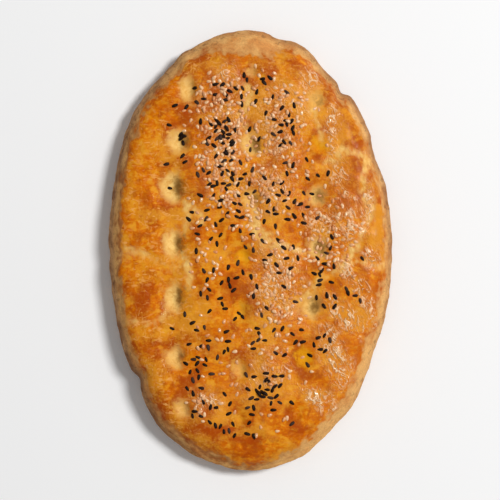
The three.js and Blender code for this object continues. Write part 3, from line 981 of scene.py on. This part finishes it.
def piece(name, mesh, material, replaced=None):
    """Puts a finished mesh on the loaf's body."""
    mesh.materials.append(material)
    obj = bpy.data.objects.new(name, mesh)
    bpy.context.scene.collection.objects.link(obj)
    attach(obj, "root")
    if replaced:
        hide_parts(replaced)


def paint_attribute(mesh, name, values):
    attribute = mesh.attributes.new(name, "FLOAT", "POINT")
    attribute.data.foreach_set("value", np.asarray(values, dtype=np.float32))


def vertex_values(mesh, field):
    values = np.empty(len(mesh.vertices) * 3)
    mesh.vertices.foreach_get(field, values)
    return values.reshape(-1, 3)


class BARBARI_OT_loaf(bpy.types.Operator):
    """Shape and bake the loaf"""

    bl_idname = "barbari.loaf"
    bl_label = "Loaf"
    bl_options = {"REGISTER", "UNDO"}

    def execute(self, context):
        form = LoafForm(context.scene.barbari_sizes)
        bm = bmesh.new()
        bmesh.ops.create_icosphere(bm, subdivisions=1, radius=1)
        bmesh.ops.subdivide_edges(bm, edges=bm.edges[:], cuts=SPHERE_CUTS, use_grid_fill=True)
        mesh = bpy.data.meshes.new("barbari_crust")
        bm.to_mesh(mesh)
        bm.free()
        sphere = vertex_values(mesh, "co")
        sphere /= np.linalg.norm(sphere, axis=1)[:, None]
        places, *where = form.wrap(sphere)
        mesh.vertices.foreach_set("co", (places * MM).ravel())
        mesh.update()
        relief, paint = skin(form, places, *where)
        places += vertex_values(mesh, "normal") * relief[:, None]
        places[:, 2] = np.maximum(places[:, 2], 0)
        mesh.vertices.foreach_set("co", (places * MM).ravel())
        mesh.shade_smooth()
        mesh.update()
        for name, values in paint.items():
            paint_attribute(mesh, name, values)
        piece("barbari_crust", mesh, crust_material(context.scene.barbari_colours), "bread")
        return {"FINISHED"}


def scatter(lane_nigella):
    """Drops the seeds one by one, each clear of the others: kind, x, y, tilt, turn, scale and lift."""
    roll = dice(SEED_DICE)
    width, length = LOAF_HIGH.x - LOAF_LOW.x, LOAF_HIGH.y - LOAF_LOW.y
    seeds = []

    def drop(kind, draw, gap):
        for _ in range(SEED_TRIES):
            x, y = draw()
            inside = math.hypot(2 * x / width * MM, 2 * y / length * MM)
            nearest = min((math.hypot(other[1] - x, other[2] - y) for other in seeds), default=math.inf)
            if inside < SEED_REACH and nearest > gap:
                tilt, turn = SEED_TILT * either_way(roll), math.tau * next(roll)
                scale = SEED_SCALES[0] + SEED_SCALES[1] * next(roll)
                seeds.append((kind, x, y, tilt, turn, scale, PILE_LIFT * (nearest < LYING_ON)))
                return

    def patches(clumps, gap):
        for at, spread, nigella, sesame in clumps:

            def draw():
                return at[0] + spread[0] * bell(roll), at[1] + spread[1] * bell(roll)

            for kind, number in (("nigella", nigella), ("sesame", sesame)):
                for _ in range(number):
                    drop(kind, draw, gap)

    def lane():
        y = LANE_HALF * either_way(roll)
        return LANE_LEAN * y + LANE_SPREAD * bell(roll), y

    patches(CLUMPS, SEED_GAP)
    for _ in range(lane_nigella):
        drop("nigella", lane, SEED_GAP)
    patches(FINE_CLUMPS, FINE_GAP)
    patches(PILES, PILE_GAP)
    return seeds


def teardrop(tip, ridges):
    """A blunt seed of half size 1 along each axis, narrower towards +X and with that many ridges along it."""
    bm = bmesh.new()
    lying = Matrix.Rotation(math.pi / 2, 4, "Y")
    sides, parts = SEED_CUTS
    bmesh.ops.create_uvsphere(bm, u_segments=sides, v_segments=parts, radius=1, matrix=lying)
    for v in bm.verts:
        around = math.hypot(v.co.y, v.co.z)
        v.co /= (abs(v.co.x) ** SEED_BOX + around**SEED_BOX) ** (1 / SEED_BOX)
        narrow = 1 - tip * (v.co.x + 1) / 2
        ridge = 1 + SEED_RIDGE * math.cos(ridges * math.atan2(v.co.z, v.co.y))
        v.co.y *= narrow * ridge
        v.co.z *= (0.5 + narrow / 2) * ridge
    return bm


def sow(kind, shape, material):
    """Lays every seed of a kind on the crust, as one piece."""
    loaf = bpy.data.objects.get("barbari_crust")
    if loaf is None:
        raise RuntimeError("make the loaf before its seeds")
    seeds = bpy.context.scene.barbari_seeds
    size = [getattr(seeds, f"{kind}_{side}") for side in ("length", "width", "height")]
    bm = teardrop(*shape)
    tone_layer = bm.verts.layers.float.new("tone")
    pattern = bm.verts[:] + bm.edges[:] + bm.faces[:]
    roll = dice(sum(map(ord, kind)))
    for seed_kind, x, y, tilt, turn, scale, lift in scatter(seeds.lane_nigella):
        if seed_kind != kind:
            continue
        hit, place, up, _ = loaf.ray_cast(Vector((x * MM, y * MM, 1)), Vector((0, 0, -1)))
        if not hit:
            raise RuntimeError("a seed missed the loaf")
        stand = Vector((0, 0, 1)).rotation_difference(up).to_matrix()
        lie = Euler((0, tilt, turn), "XYZ").to_matrix()
        half = Matrix.Diagonal(Vector(size) * scale / 2)
        copy = bmesh.ops.duplicate(bm, geom=pattern)["geom"]
        verts = [g for g in copy if isinstance(g, bmesh.types.BMVert)]
        matrix = (stand @ lie @ half).to_4x4()
        matrix.translation = place + up * (lift - SEED_SINK) * size[2]
        bmesh.ops.transform(bm, matrix=matrix, verts=verts)
        tone = next(roll)
        for v in verts:
            v[tone_layer] = tone
    bmesh.ops.delete(bm, geom=[g for g in pattern if isinstance(g, bmesh.types.BMVert)], context="VERTS")
    mesh = bpy.data.meshes.new(kind + "_seeds")
    bm.to_mesh(mesh)
    bm.free()
    mesh.shade_smooth()
    piece(kind + "_seeds", mesh, material)


class BARBARI_OT_nigella(bpy.types.Operator):
    """Sprinkle the nigella seeds on the loaf"""

    bl_idname = "barbari.nigella"
    bl_label = "Nigella seeds"
    bl_options = {"REGISTER", "UNDO"}

    def execute(self, context):
        sow("nigella", NIGELLA_SHAPE, nigella_material(context.scene.barbari_colours))
        return {"FINISHED"}


class BARBARI_OT_sesame(bpy.types.Operator):
    """Sprinkle the sesame seeds on the loaf"""

    bl_idname = "barbari.sesame"
    bl_label = "Sesame seeds"
    bl_options = {"REGISTER", "UNDO"}

    def execute(self, context):
        sow("sesame", SESAME_SHAPE, sesame_material(context.scene.barbari_colours))
        return {"FINISHED"}


FLOOR_HALF = 3.0
KEY_FROM = Vector((1.3, 0.6, 2.05))  # where the key light hangs
KEY_SIZE = 0.6
SENSOR_MM = 36  # width of the camera's sensor


class BARBARI_OT_stage(bpy.types.Operator):
    """Lay the floor, hang the lights and set the camera"""

    bl_idname = "barbari.stage"
    bl_label = "Floor, light and camera"
    bl_options = {"REGISTER", "UNDO"}

    def execute(self, context):
        stage = context.scene.barbari_stage
        self.floor(context)
        self.lights(context, stage)
        self.camera(context, stage)
        context.scene.view_settings.view_transform = "Standard"
        return {"FINISHED"}

    def floor(self, context):
        bm = bmesh.new()
        bmesh.ops.create_grid(bm, x_segments=1, y_segments=1, size=FLOOR_HALF)
        mesh = bpy.data.meshes.new("floor")
        bm.to_mesh(mesh)
        bm.free()
        mesh.materials.append(floor_material(context.scene.barbari_colours))
        floor = bpy.data.objects.new("floor", mesh)
        context.scene.collection.objects.link(floor)

    def lights(self, context, stage):
        key = bpy.data.lights.new("key", "AREA")
        key.shape = "DISK"
        key.size = KEY_SIZE
        key.energy = stage.key_strength
        lamp = bpy.data.objects.new("key", key)
        lamp.location = KEY_FROM
        lamp.rotation_euler = (-KEY_FROM).to_track_quat("-Z", "Y").to_euler()
        context.scene.collection.objects.link(lamp)
        world = bpy.data.worlds.new("studio")
        world.use_nodes = True
        world.node_tree.nodes["Background"].inputs["Color"].default_value = (1, 1, 1, 1)
        world.node_tree.nodes["Background"].inputs["Strength"].default_value = stage.fill_strength
        context.scene.world = world

    def camera(self, context, stage):
        view = bpy.data.cameras.new("camera")
        view.sensor_width = SENSOR_MM
        view.lens = SENSOR_MM * stage.camera_height / stage.view_width
        camera = bpy.data.objects.new("camera", view)
        camera.location = (0, 0, context.scene.barbari_sizes.rim_level + stage.camera_height)
        context.scene.collection.objects.link(camera)
        context.scene.camera = camera


class BARBARI_PT_panel(bpy.types.Panel):
    """Barbari loaf"""

    bl_idname = "BARBARI_PT_panel"
    bl_label = "Barbari loaf"
    bl_space_type = "VIEW_3D"
    bl_region_type = "UI"
    bl_category = "Bread"

    def draw(self, context):
        for group in GROUPS:
            box = self.layout.box()
            for name in GROUPS[group].__annotations__:
                box.prop(getattr(context.scene, group), name)
        for maker in MAKERS:
            self.layout.operator(maker.bl_idname)


GROUPS = {
    "barbari_sizes": BarbariSizes,
    "barbari_seeds": BarbariSeeds,
    "barbari_colours": BarbariColours,
    "barbari_stage": BarbariStage,
}
MAKERS = (BARBARI_OT_loaf, BARBARI_OT_nigella, BARBARI_OT_sesame, BARBARI_OT_stage)
CLASSES = (*GROUPS.values(), *MAKERS, BARBARI_PT_panel)


def register():
    for cls in CLASSES:
        bpy.utils.register_class(cls)
    for name, group in GROUPS.items():
        setattr(bpy.types.Scene, name, PointerProperty(type=group))


def unregister():
    for name in GROUPS:
        delattr(bpy.types.Scene, name)
    for cls in reversed(CLASSES):
        bpy.utils.unregister_class(cls)


def main():
    register()
    bpy.ops.barbari.loaf()
    bpy.ops.barbari.nigella()
    bpy.ops.barbari.sesame()
    bpy.ops.barbari.stage()
    bpy.context.view_layer.update()


if __name__ == "__main__":
    main()
